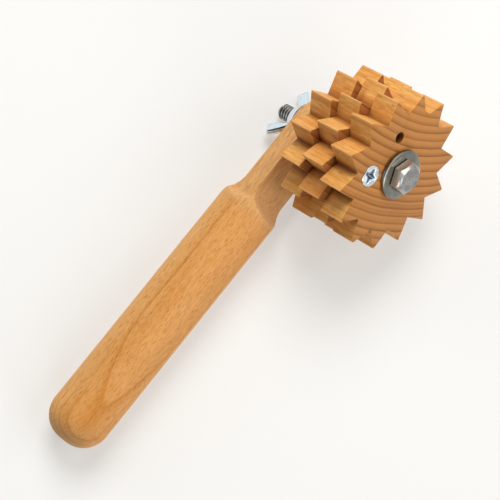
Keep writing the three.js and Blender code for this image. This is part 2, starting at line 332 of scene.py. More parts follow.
@dataclass(frozen=True)
class BeechFinish:
    """Bare beech, solid all through: growth rings, fine fibres, pores and short rays."""

    name: str
    grain: Grain
    pith: Point
    ring_width: float
    first_ring: float
    early: Colour
    late: Colour
    end_early: Colour
    end_late: Colour
    ray: Colour
    end_ray: Colour
    sharpness: float
    waver: float
    evenness: float
    ray_share: float
    fibre_share: float
    ring_share: float = 0.6
    end_ring_share: float = 0.9
    cloud_share: float = 0.5
    streak_share: float = 0.35
    blush: Colour = (0.0, 0.0, 0.0, 1.0)
    blush_share: float = 0.0
    fleck_apart: Point = (0.72, 0.3)
    close_rings: Point | None = None
    bend: Triple = (0.0, 1.0, 0.0)
    faint_beyond: float = 1e3
    faint_below: Triple | None = None
    edge_light_tone: Colour = (0.0, 0.0, 0.0, 1.0)
    edge_light_reach: Point | None = None
    quarter: Triple = (0.0, 0.0, 0.0)
    root_shade: float = 0.0
    tip: float = 0.0
    shaded_hole: Point | None = None
    sanded_with_painted_light: Colour | None = None
    roughness: Point = (0.5, 0.63)

    def build(self) -> bpy.types.Material:
        """Makes the material.

        Returns:
            The finished material.
        """
        coat = Coat(self.name)
        place = x, y, z = coat.place()
        if self.grain is Grain.ALONG_HANDLE:
            across, up, along, fibre = y, z, x, (1.0, 0.0, 0.0)
        else:
            across, up, along, fibre = x, z, y, (0.0, 1.0, 0.0)

        def drawn(figure: Figure) -> Socket:
            """Reads a figure's noise."""
            spot = coat.vector(across, up, coat.times(along, figure.stretch))
            return coat.noise(spot, figure.scale, figure.detail, figure.rough)

        aside = coat.math("SUBTRACT", across, self.pith[0])
        above = coat.math("SUBTRACT", up, self.pith[1])
        reach = coat.hypot(aside, above)
        around = coat.times(coat.math("ARCTAN2", above, aside), self.first_ring)
        bent = coat.math("ADD", reach, coat.span(along, self.bend[0], self.bend[1], 0.0, self.bend[2]))
        wander = coat.math("MULTIPLY_ADD", drawn(WANDER), 4 * self.waver, -2 * self.waver)
        late = self.rings(coat, coat.math("ADD", bent, wander))
        if self.faint_below is not None:
            low, start, finish = self.faint_below
            far_end = coat.span(along, start, finish, FAINT_LINE, 1.0)
            kept = coat.math("MAXIMUM", coat.span(bent, low - RING_FADE, low + RING_FADE), far_end)
            late = coat.times(late, kept)
        fibres, pores = drawn(FIBRES), drawn(PORES)
        quarter = (self.ray_share, self.ray_share * QUARTER_SHARE)
        broadside = coat.span(coat.facing(self.quarter), *QUARTER_SAWN, *quarter)
        fleck = coat.times(self.rays(coat, reach, around, along), broadside)

        side = coat.blend(coat.times(late, self.ring_share), self.early, self.late)
        for figure, noise, share, tone in (
            (CLOUDS, drawn(CLOUDS), self.cloud_share, self.late),
            (STREAKS, drawn(STREAKS), self.streak_share, self.late),
            (FIBRES, fibres, self.fibre_share, self.late),
            (BLUSH, drawn(BLUSH), self.blush_share, self.blush),
        ):
            side = coat.tint(side, tone, noise, figure.shown, share)
        # Painted light: the wood pales towards the bar's edges, far from the pith, standing in for the
        # light that wraps round the bar.
        if self.edge_light_reach is not None:
            side = coat.tint(side, self.edge_light_tone, reach, self.edge_light_reach, EDGE_LIGHT_SHARE)
        side = coat.blend(fleck, side, self.ray)
        face = coat.blend(coat.times(late, self.end_ring_share), self.end_early, self.end_late)
        face = coat.tint(face, self.end_late, pores, PORES.shown, PORE_SHARE)
        face = coat.blend(coat.times(fleck, END_FLECK_SHARE), face, self.end_ray)
        end = coat.span(coat.facing(fibre), *END_GRAIN)
        coat.put(
            Base_Color=self.marks_and_painted_light(coat, side, face, end, place),
            Roughness=coat.span(fibres, 0.3, 0.7, *self.roughness),
            Specular_IOR_Level=0.22,
        )
        height = coat.math("SUBTRACT", fibres, coat.times(fleck, 0.1))
        coat.bump(coat.math("ADD", height, coat.times(pores, 0.5)), strength=0.3, distance=0.1)
        return coat.material

    def rings(self, coat: Coat, reach: Socket) -> Socket:
        """Draws the growth rings, darkening outwards and each of its own strength.

        Args:
            coat: The material's nodes.
            reach: Millimetres from the pith.

        Returns:
            Up to 1 on the dark line at a ring's outside.
        """
        count = coat.math("DIVIDE", coat.math("SUBTRACT", reach, self.first_ring), self.ring_width)
        share = coat.math("FRACT", count)
        late = coat.times(coat.math("POWER", share, self.sharpness), coat.span(share, 1.0, 0.9))
        chance = coat.node("TexWhiteNoise", {"W": coat.math("FLOOR", count)}, noise_dimensions="1D")
        late = coat.times(late, coat.span(chance.outputs["Value"], 0.0, 1.0, self.evenness, 1.0))
        faint = coat.span(reach, self.faint_beyond, self.faint_beyond + RING_FADE, 1.0, FAINT_RING)
        late = coat.times(late, faint)
        if self.close_rings is None:
            return late
        low, high = self.close_rings
        between = coat.math("FRACT", coat.math("ADD", count, 0.5))
        extra = coat.times(coat.math("POWER", between, 6.0), coat.span(between, 1.0, 0.92))
        extra = coat.times(extra, coat.span(reach, low - 2.0, low + 1.0))
        extra = coat.times(extra, coat.span(reach, high + 2.0, high - 1.0))
        return coat.math("MAXIMUM", late, coat.times(extra, CLOSE_RING))

    def rays(self, coat: Coat, reach: Socket, around: Socket, along: Socket) -> Socket:
        """Draws the rays: thin around the rings, short along the fibres, long outwards.

        Args:
            coat: The material's nodes.
            reach: Millimetres from the pith.
            around: Millimetres around it.
            along: Millimetres along the fibres.

        Returns:
            Up to 1 on a ray and 0 between them.
        """
        apart = (FLECK_REACH, *self.fleck_apart)
        spot = coat.vector(*(coat.times(way, share) for way, share in zip((reach, around, along), apart)))
        cell = coat.node("TexVoronoi", {"Vector": spot, "Scale": 1.0}, feature="F1").outputs
        offset = coat.arrow("SUBTRACT", spot, cell["Position"]).outputs["Vector"]
        shaped = coat.arrow("MULTIPLY", offset, FLECK_SHAPE).outputs["Vector"]
        inside = coat.span(coat.arrow("LENGTH", shaped).outputs["Value"], 1.0, 0.4)
        return coat.times(inside, coat.span(cell["Color"], 0.1, 0.8, 0.25, 1.0))

    def marks_and_painted_light(self, coat: Coat, side: Socket, face: Socket, end: Socket, place: Sequence[Socket]) -> Socket:
        """Joins side and end grain and adds the marks of making and use, and painted shade and light.

        Args:
            coat: The material's nodes.
            side: The colour along the fibres.
            face: The colour across them.
            end: How squarely the fibres are cut.
            place: The tool's X, Y and Z in millimetres.

        Returns:
            The colour: painted shade in the teeth's roots and the drilled hole, pale at their tips with
                wear and a painted highlight.
        """
        x, y, z = place
        # Painted shade: the valleys' side walls darken towards the roots, and the middle and back discs'
        # faces darken between the teeth, where the disc in front shades them.
        if self.root_shade:
            painted_shade = (*(tone * share for tone, share in zip(self.end_late, ROOT_SHADE_TONE)), 1.0)
            reach = coat.hypot(x, z)
            side = coat.tint(side, painted_shade, reach, ROOT_SHADE_SIDES, self.root_shade)
            face_shade = coat.span(reach, *ROOT_SHADE_FACES, 0.0, ROOT_FACE_SHADE_SHARE)
            face = coat.blend(coat.times(face_shade, coat.span(y, *PAST_FRONT_DISC)), face, painted_shade)
        colour = coat.blend(end, side, face)
        # The teeth's tips pale: partly wear on the crests, partly a painted highlight where the crests
        # catch the light.
        if self.tip:
            colour = coat.tint(colour, self.end_ray, coat.hypot(x, z), TIPS, self.tip)
        # The neck turns paler and greyer: partly its sanded wood, partly painted cool light. Saw lines
        # then darken along it.
        if self.sanded_with_painted_light is not None:
            neck = coat.span(x, *NECK)
            colour = coat.blend(coat.times(neck, SANDED_LIGHT_SHARE), colour, self.sanded_with_painted_light)
            lines = coat.noise(coat.vector(coat.times(x, 0.06), y, z), scale=3.0, detail=1.0)
            lines = coat.times(coat.span(lines, 0.55, 0.68, 0.0, SAW_LINE_SHARE), neck)
            colour = coat.blend(lines, colour, self.end_late)
            # A pale, fuzzy patch on the shoulder's crease: partly torn fibres, partly a painted highlight
            # on the crease.
            fuzz = coat.span(coat.noise(coat.vector(x, y, z), scale=2.6, rough=0.7), 0.42, 0.62)
            shoulder_patch = coat.times(coat.span(x, *SHOULDER_PATCH_FROM), coat.span(x, *SHOULDER_PATCH_TO, 0.0, SHOULDER_PATCH_SHARE))
            colour = coat.blend(coat.times(shoulder_patch, fuzz), colour, self.end_ray)
        # Painted shade on the spare hole's walls, fading out over a thin ring round its mouth.
        if self.shaded_hole is not None:
            aside = coat.math("SUBTRACT", x, self.shaded_hole[0])
            above = coat.math("SUBTRACT", z, self.shaded_hole[1])
            colour = coat.tint(colour, HOLE_SHADE, coat.hypot(aside, above), HOLE_SHADE_REACH, HOLE_SHADE_SHARE)
        return colour


@dataclass(frozen=True)
class MetalFinish:
    """Bare or plated steel, faintly mottled, lightly scratched and, on a turned face, finely ringed."""

    name: str
    colour: Colour
    shade: Colour
    roughness: float
    rings: float = 0.0
    scratch: float = 0.3
    recess_shade: Colour | None = None
    recess_shade_from: Point = (0.0, 0.0)
    groove_shade: Colour = (0.2, 0.195, 0.15, 1.0)
    groove: Point | None = None
    flats: Colour | None = None

    def build(self) -> bpy.types.Material:
        """Makes the material.

        Returns:
            The finished material.
        """
        coat = Coat(self.name)
        x, y, z = coat.place()
        mottle = coat.noise(coat.vector(x, y, z), scale=0.4)
        fine = coat.noise(coat.vector(coat.times(x, 0.2), y, z), scale=5.0, rough=0.6)
        colour = coat.tint(self.colour, self.shade, mottle, (0.35, 0.7))
        # Painted shade: the screw darkens below its head's face, in its cross recess.
        if self.recess_shade is not None:
            colour = coat.tint(colour, self.recess_shade, y, self.recess_shade_from)
        reach = coat.hypot(x, z)
        # Painted shade: the thread darkens in its roots, past where the thread starts.
        if self.groove is not None:
            in_groove = coat.times(coat.span(reach, *self.groove), coat.span(y, *THREAD_FROM))
            colour = coat.blend(in_groove, colour, self.groove_shade)
        rough = coat.span(mottle, 0.3, 0.7, self.roughness * 0.9, self.roughness * 1.12)
        height = coat.times(fine, self.scratch)
        # Painted reflection: the hex head's flats take a warm tint of the mirrored wood, and are rougher.
        if self.flats is not None:
            side = coat.times(coat.span(coat.facing((0.0, 1.0, 0.0)), 0.3, 0.1), coat.span(y, *HEAD_SIDES))
            colour = coat.blend(side, colour, self.flats)
            rough = coat.math("MULTIPLY_ADD", side, 0.11, rough)
        if self.rings:
            wave = coat.math("SINE", coat.times(reach, TURN / LATHE_MARK))
            height = coat.math("ADD", height, coat.times(wave, self.rings))
            marks = coat.times(coat.span(wave, 0.0, 1.0, 0.0, 0.3), coat.span(y, *HEAD_FACE))
            colour = coat.blend(marks, colour, self.shade)
        coat.put(Base_Color=colour, Metallic=1.0, Roughness=rough)
        coat.bump(height, strength=0.25, distance=0.03)
        return coat.material


HANDLE_BEECH = BeechFinish(
    name="handle_beech",
    grain=Grain.ALONG_HANDLE,
    pith=(111.1, -43.9),
    ring_width=2.3,
    first_ring=89.95,
    early=srgb(224, 165, 99),
    late=srgb(186, 112, 22),
    end_early=srgb(200, 150, 94),
    end_late=srgb(150, 100, 52),
    ray=srgb(140, 58, 2),
    end_ray=srgb(226, 176, 116),
    ring_share=0.9,
    sharpness=3.4,
    waver=0.2,
    ray_share=1.0,
    fleck_apart=(1.6, 0.4),
    bend=(-134.0, -93.0, 3.6),
    evenness=0.8,
    faint_beyond=92.25,
    faint_below=(89.95, -124.0, -136.0),
    quarter=(0.0, 0.549, 0.836),
    # Painted light along the bar's edges
    edge_light_tone=srgb(230, 180, 114),
    edge_light_reach=(88.5, 85.5),
    cloud_share=0.2,
    streak_share=0.16,
    fibre_share=0.48,
    # Sanded neck, partly painted cool light
    sanded_with_painted_light=srgb(214, 168, 116),
)
DISC_BEECH = BeechFinish(
    name="disc_beech",
    grain=Grain.ALONG_BOLT,
    pith=(94.48, 46.88),
    ring_width=2.99,
    first_ring=86.4,
    early=srgb(241, 188, 112),
    late=srgb(194, 116, 22),
    end_early=srgb(198, 135, 71),
    end_late=srgb(122, 61, 12),
    ray=srgb(160, 92, 38),
    end_ray=srgb(232, 180, 122),
    end_ring_share=1.0,
    ray_share=0.45,
    sharpness=2.4,
    waver=0.25,
    evenness=0.7,
    close_rings=(115.0, 123.0),
    blush=srgb(200, 118, 58),
    blush_share=0.3,
    fibre_share=0.66,
    # Painted shade in the teeth's roots and between them
    root_shade=0.6,
    tip=0.5,
    # Painted shade in the spare hole
    shaded_hole=(8.006, 12.566),
)
STEEL = MetalFinish("plain_steel", (0.265, 0.265, 0.235, 1.0), (0.205, 0.205, 0.185, 1.0), 0.24)
# Darker, rougher steel for the inner and rear washers: painted shade for the rear washer's rim in the gap
# between neck and wing nut.
SHADED_STEEL = MetalFinish("shaded_steel", (0.2, 0.2, 0.185, 1.0), (0.14, 0.14, 0.13, 1.0), 0.38)
TURNED_STEEL = MetalFinish(
    "turned_steel",
    (0.45, 0.44, 0.42, 1.0),
    (0.32, 0.315, 0.3, 1.0),
    0.2,
    rings=0.5,
    # Painted shade in the thread's roots
    groove=(3.05, 2.6),
    # Warm painted reflection on the hex flats
    flats=(0.68, 0.57, 0.47, 1.0),
)
ZINC = MetalFinish("zinc_plate", (0.76, 0.84, 0.89, 1.0), (0.7, 0.79, 0.85, 1.0), 0.17, scratch=0.15)
SCREW_ZINC = MetalFinish(
    "screw_zinc",
    (0.9, 0.96, 0.99, 1.0),
    (0.72, 0.83, 0.9, 1.0),
    0.2,
    scratch=0.15,
    # Painted shade in the cross recess
    recess_shade=(0.12, 0.15, 0.19, 1.0),
    recess_shade_from=(0.08, 0.7),
)


@cache
def paint(finish: BeechFinish | MetalFinish) -> bpy.types.Material:
    """Gives a finish's material, built once."""
    return finish.build()


def stand(name: str, data: bpy.types.ID) -> bpy.types.Object:
    """Puts a new object into the scene.

    Args:
        name: Its name.
        data: What it shows.

    Returns:
        The object.
    """
    made = bpy.data.objects.new(name, data)
    bpy.context.scene.collection.objects.link(made)
    return made


class Piece:
    """One piece being shaped, as a bmesh in the tool's millimetres."""

    THREAD_DEPTH = 0.6134
    THREAD_SHAPE = ((0, 0.0), (0, 0.125), (1, 0.385), (1, 0.615), (0, 0.875), (0, 1.0))
    THREAD_TAPER = 0.9
    NEAR = 1e-3

    def __init__(self) -> None:
        """Starts with an empty mesh."""
        self.bm = bmesh.new()

    def loop(self, points: Points, along: float) -> Edges:
        """Draws a closed outline of X and Z corners across a place along the bolt."""
        verts = [self.bm.verts.new((x, along, z)) for x, z in points]
        return [self.bm.edges.new(pair) for pair in zip(verts, verts[1:] + verts[:1])]

    def fill(self, edges: Edges) -> None:
        """Closes an outline, round any outlines inside it."""
        bmesh.ops.triangle_fill(self.bm, use_beauty=True, use_dissolve=True, edges=edges)

    def wall(self, edges: Edges, along: float, scale: float = 1.0, centre: Point = (0.0, 0.0)) -> Edges:
        """Draws a wall from an outline to another place along the bolt.

        Args:
            edges: The outline.
            along: Where the wall ends.
            scale: How large the outline is there.
            centre: What it grows about.

        Returns:
            The far end's edges.
        """
        made = bmesh.ops.extrude_edge_only(self.bm, edges=edges)["geom"]
        verts = [item for item in made if isinstance(item, bmesh.types.BMVert)]
        for vert in verts:
            vert.co.x = centre[0] + (vert.co.x - centre[0]) * scale
            vert.co.z = centre[1] + (vert.co.z - centre[1]) * scale
            vert.co.y = along
        rim = set(verts)
        return [item for item in made if isinstance(item, bmesh.types.BMEdge) and set(item.verts) <= rim]

    def spin(
        self,
        profile: Sequence[Point],
        facets: int,
        closed: bool = False,
        turns: int = 1,
        pitch: float = 0.0,
    ) -> None:
        """Spins a profile about the bolt's axis.

        Args:
            profile: Radius and place along the bolt of each point.
            facets: How many steps make a full turn.
            closed: Whether the profile is a ring.
            turns: How many turns it makes.
            pitch: How far a turn goes along the bolt.
        """
        verts = [self.bm.verts.new((radius, along, 0.0)) for radius, along in profile]
        pairs = list(zip(verts, verts[1:]))
        if closed:
            pairs.append((verts[-1], verts[0]))
        bmesh.ops.spin(
            self.bm,
            geom=verts + [self.bm.edges.new(pair) for pair in pairs],
            axis=(0.0, 1.0, 0.0),
            dvec=(0.0, pitch / facets, 0.0),
            angle=TURN * turns,
            steps=facets * turns,
            use_merge=not pitch,
        )

    def screw(self, radius: float, pitch: float, start: float, end: float, facets: int) -> None:
        """Cuts a thread along the bolt, its last turn chamfered.

        Args:
            radius: Its outside radius.
            pitch: Its pitch.
            start: Where it starts.
            end: Where the rod ends.
            facets: How many steps make a turn.
        """
        core = radius - self.THREAD_DEPTH * pitch
        low = start - pitch
        shape = [(radius if crest else core, low + share * pitch) for crest, share in self.THREAD_SHAPE]
        self.spin(shape, facets, turns=ceil((end - start) / pitch) + 2, pitch=pitch)
        self.weld()
        for vert in self.bm.verts:
            reach = hypot(vert.co.x, vert.co.z)
            limit = core + max(end - vert.co.y, 0.0) * self.THREAD_TAPER
            if reach > limit:
                vert.co.x *= limit / reach
                vert.co.z *= limit / reach
        for place, normal in ((start, -1.0), (end, 1.0)):
            bmesh.ops.bisect_plane(
                self.bm,
                geom=self.bm.verts[:] + self.bm.edges[:] + self.bm.faces[:],
                plane_co=(0.0, place, 0.0),
                plane_no=(0.0, normal, 0.0),
                clear_outer=True,
            )
            rim = [edge for edge in self.bm.edges if edge.is_boundary]
            rim = [edge for edge in rim if all(abs(vert.co.y - place) < self.NEAR for vert in edge.verts)]
            bmesh.ops.contextual_create(self.bm, geom=rim)

    def weld(self) -> None:
        """Joins corners that lie together."""
        bmesh.ops.remove_doubles(self.bm, verts=self.bm.verts[:], dist=self.NEAR)

    def ease(self, width: float, sharper: float = 35.0, segments: int = 2, own: set | None = None) -> None:
        """Rounds the sharp edges.

        Args:
            width: How wide the rounding is.
            sharper: The angle in degrees past which an edge is sharp.
            segments: Its steps.
            own: Where given, only the edges of these corners are rounded.
        """
        limit = radians(sharper)
        edges = [edge for edge in self.bm.edges if own is None or edge.verts[0] in own]
        bmesh.ops.bevel(
            self.bm,
            geom=[edge for edge in edges if edge.is_manifold and edge.calc_face_angle() > limit],
            offset=width,
            segments=segments,
            profile=0.5,
            affect="EDGES",
            clamp_overlap=True,
        )

    def mesh(self, name: str, smooth: float, arris: float = 0.0, sharper: float = 35.0) -> Mesh:
        """Closes the shape and writes it as a mesh, still in the tool's millimetres.

        Args:
            name: The mesh's name.
            smooth: The angle in degrees past which an edge stays sharp.
            arris: How wide its sharp edges are rounded.
            sharper: The angle in degrees past which they are.

        Returns:
            The mesh.
        """
        self.weld()
        bmesh.ops.recalc_face_normals(self.bm, faces=self.bm.faces[:])
        if arris:
            self.ease(arris, sharper)
        mesh = bpy.data.meshes.new(name)
        self.bm.to_mesh(mesh)
        self.bm.free()
        mesh.shade_smooth()
        mesh.set_sharp_from_angle(angle=radians(smooth))
        return mesh


@dataclass(frozen=True)
class Bore:
    """A round hole drilled along the bolt, right through a mesh."""

    radius: float
    low: float
    high: float
    over: float = 2.0
    facets: int = 64
    voxel: float = 0.2
    softening: int = 6

    def cut(self, mesh: Mesh, smooth: float, fused: bool = False) -> Mesh:
        """Bores a mesh.

        Args:
            mesh: The mesh.
            smooth: The angle in degrees past which an edge stays sharp.
            fused: Whether its parts are fused and softened first.

        Returns:
            The bored mesh.
        """
        low, high = self.low - self.over, self.high + self.over
        cutter = Piece()
        cutter.spin(((0.0, low), (self.radius, low), (self.radius, high), (0.0, high)), self.facets)
        drill = stand("drill", cutter.mesh("drill", smooth))
        passing = stand(mesh.name + "_raw", mesh)
        if fused:
            fuse = passing.modifiers.new("fuse", "REMESH")
            fuse.mode = "VOXEL"
            fuse.voxel_size = self.voxel
            soften = passing.modifiers.new("soften", "SMOOTH")
            soften.factor = 0.5
            soften.iterations = self.softening
        drilled = passing.modifiers.new("drilled", "BOOLEAN")
        drilled.operation = "DIFFERENCE"
        drilled.solver = "EXACT"
        drilled.object = drill
        bpy.context.view_layer.update()
        shaped = passing.evaluated_get(bpy.context.evaluated_depsgraph_get())
        result = bpy.data.meshes.new_from_object(shaped)
        result.name = mesh.name
        for helper in (passing, drill):
            bpy.data.objects.remove(helper)
        result.shade_smooth()
        result.set_sharp_from_angle(angle=radians(smooth))
        return result


def release(mesh: Mesh, body: Body, finish: BeechFinish | MetalFinish, node: str) -> None:
    """Lays a finished mesh in its place and hands it to the frame.

    Args:
        mesh: The mesh, in the tool's millimetres.
        body: The body it rides on.
        finish: Its finish.
        node: The CAD node it stands for.
    """
    mesh.transform(PLACING.matrix())
    mesh.materials.clear()
    mesh.materials.append(paint(finish))
    piece = stand(mesh.name, mesh)
    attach(piece, body.value)
    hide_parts(node)
    LOG.info("%s: %d faces, rides on %s", piece.name, len(mesh.polygons), body.value)


def ring_points(radius: float, count: int, centre: Point = (0.0, 0.0)) -> list[Point]:
    """Gives the corners of a round outline."""
    steps = (TURN * index / count for index in range(count))
    return [(centre[0] + radius * cos(a), centre[1] + radius * sin(a)) for a in steps]


def on_circle(radius: float, degrees: float) -> Point:
    """Gives a point on a circle about the bolt."""
    return radius * cos(radians(degrees)), radius * sin(radians(degrees))


def curve(start: Vector, bend: Vector, end: Vector, steps: int) -> list[Point]:
    """Gives the points of a curve that starts and ends towards a bend."""
    shares = (step / steps for step in range(steps + 1))
    return [tuple(start.lerp(bend, t).lerp(bend.lerp(end, t), t)) for t in shares]


@dataclass
class Stack:
    """Where each piece stands along the bolt."""

    disc: float = 10.3
    disc_gap: float = 0.2
    washer: float = 1.6
    front_washer: float = -1.9
    head_face: float = -6.0
    head_back: float = -2.2
    inner_washer: float = 31.6
    jam_nut: float = 33.5
    jam_nut_height: float = 5.55
    neck_face: float = 39.35
    neck_back: float = 47.35
    rear_washer: float = 47.65
    wing_nut: float = 49.55
    bolt_end: float = 61.3


@dataclass
class Wheel:
    """The three toothed discs and the screw that locks them."""

    stack: Stack
    teeth: int = 14
    tip_radius: float = 30.2
    root_radius: float = 22.6
    tip_ease: float = 0.75
    tip_steps: int = 4
    first_tooth: float = 8.3
    middle_turn: float = -10.2
    back_turn: float = -1.4
    bore: float = 3.575
    screw_circle: float = 14.9
    screw_at: float = 128.2
    spare_at: float = 57.5
    spare_radius: float = 2.0
    screw_head: float = 4.1
    screw_shank: float = 2.1
    screw_length: float = 25.4
    screw_gap: float = 0.3
    sink_depth: float = 2.9
    cone_depth: float = 2.6
    point_length: float = 4.0
    point_share: float = 0.1
    rim_width: float = 0.12
    rim_depths: Point = (0.14, 0.32)
    recess_turn: float = 14.0
    recess_arm: Points = ((3.15, -0.55), (3.35, 0.0), (3.15, 0.55), (1.9, 0.85), (1.2, 1.2), (0.85, 1.9))
    recess_steps: Points = ((1.5, 0.62), (2.1, 0.3))
    arris: float = 0.3
    screw_arris: float = 0.08
    facets: int = 48

    def build(self) -> None:
        """Makes the discs and the screw."""
        discs = (("front", 0.0), ("middle", self.middle_turn), ("back", self.back_turn))
        for index, (name, turn) in enumerate(discs):
            mesh = self.disc(f"{name}_toothed_disc", index, turn)
            release(mesh, Body.WHEEL, DISC_BEECH, f"{name}_disc")
        release(self.lock_screw(), Body.WHEEL, SCREW_ZINC, "lock_screw")

    def outline(self, turn: float) -> list[Point]:
        """Gives the toothed outline.

        Args:
            turn: How far it is turned on, in degrees.

        Returns:
            Its corners, each tip rounded over.
        """
        pitch = 360.0 / self.teeth
        points: list[Point] = []
        for tooth in range(self.teeth):
            angle = self.first_tooth + turn + tooth * pitch
            tip = Vector(on_circle(self.tip_radius, angle))
            before = Vector(on_circle(self.root_radius, angle - pitch / 2))
            after = Vector(on_circle(self.root_radius, angle + pitch / 2))
            share = self.tip_ease / (tip - after).length
            points.append(tuple(before))
            points += curve(tip.lerp(before, share), tip, tip.lerp(after, share), self.tip_steps)
        return points

    def disc(self, name: str, index: int, turn: float) -> Mesh:
        """Makes a disc, the front one with its countersink and spare hole.

        Args:
            name: The piece's name.
            index: Its place, counted from the bolt's head.
            turn: How far its teeth are turned on, in degrees.

        Returns:
            The mesh.
        """
        piece = Piece()
        face = index * (self.stack.disc + self.stack.disc_gap)
        back = face + self.stack.disc
        rim = piece.loop(self.outline(turn), face)
        bore = piece.loop(ring_points(self.bore, self.facets), face)
        if index:
            piece.fill(rim + bore)
            far = piece.wall(rim, back) + piece.wall(bore, back)
        else:
            screw = on_circle(self.screw_circle, self.screw_at)
            spare_at = on_circle(self.screw_circle, self.spare_at)
            sink = self.screw_head + self.screw_gap
            hole = self.screw_shank + self.screw_gap
            sunk = piece.loop(ring_points(sink, self.facets, screw), face)
            spare = piece.loop(ring_points(self.spare_radius, self.facets, spare_at), face)
            piece.fill(rim + bore + sunk + spare)
            far = piece.wall(rim, back) + piece.wall(bore, back) + piece.wall(spare, back)
            far += piece.wall(piece.wall(sunk, self.sink_depth, hole / sink, screw), back)
        piece.fill(far)
        return piece.mesh(name, smooth=30.0, arris=self.arris)

    def lock_screw(self) -> Mesh:
        """Makes the countersunk screw with its cross recess.

        Returns:
            The mesh.
        """
        piece = Piece()
        centre = on_circle(self.screw_circle, self.screw_at)
        rim_radius = self.screw_head - self.rim_width
        rim = piece.loop(ring_points(rim_radius, self.facets, centre), 0.0)
        turns = [Matrix.Rotation(radians(arm * 90 + self.recess_turn), 2) for arm in range(4)]
        cross = (turn @ Vector(corner) for turn in turns for corner in self.recess_arm)
        floor = piece.loop([(centre[0] + spot.x, centre[1] + spot.y) for spot in cross], 0.0)
        piece.fill(rim + floor)
        for depth, share in self.recess_steps:
            floor = piece.wall(floor, depth, share, centre)
        piece.fill(floor)
        for depth, share in (
            (self.rim_depths[0], self.screw_head / rim_radius),
            (self.rim_depths[1], 1.0),
            (self.cone_depth, self.screw_shank / self.screw_head),
            (self.screw_length - self.point_length, 1.0),
            (self.screw_length, self.point_share),
        ):
            rim = piece.wall(rim, depth, share, centre)
        piece.fill(rim)
        return piece.mesh("countersunk_lock_screw", smooth=32.0, arris=self.screw_arris, sharper=50.0)


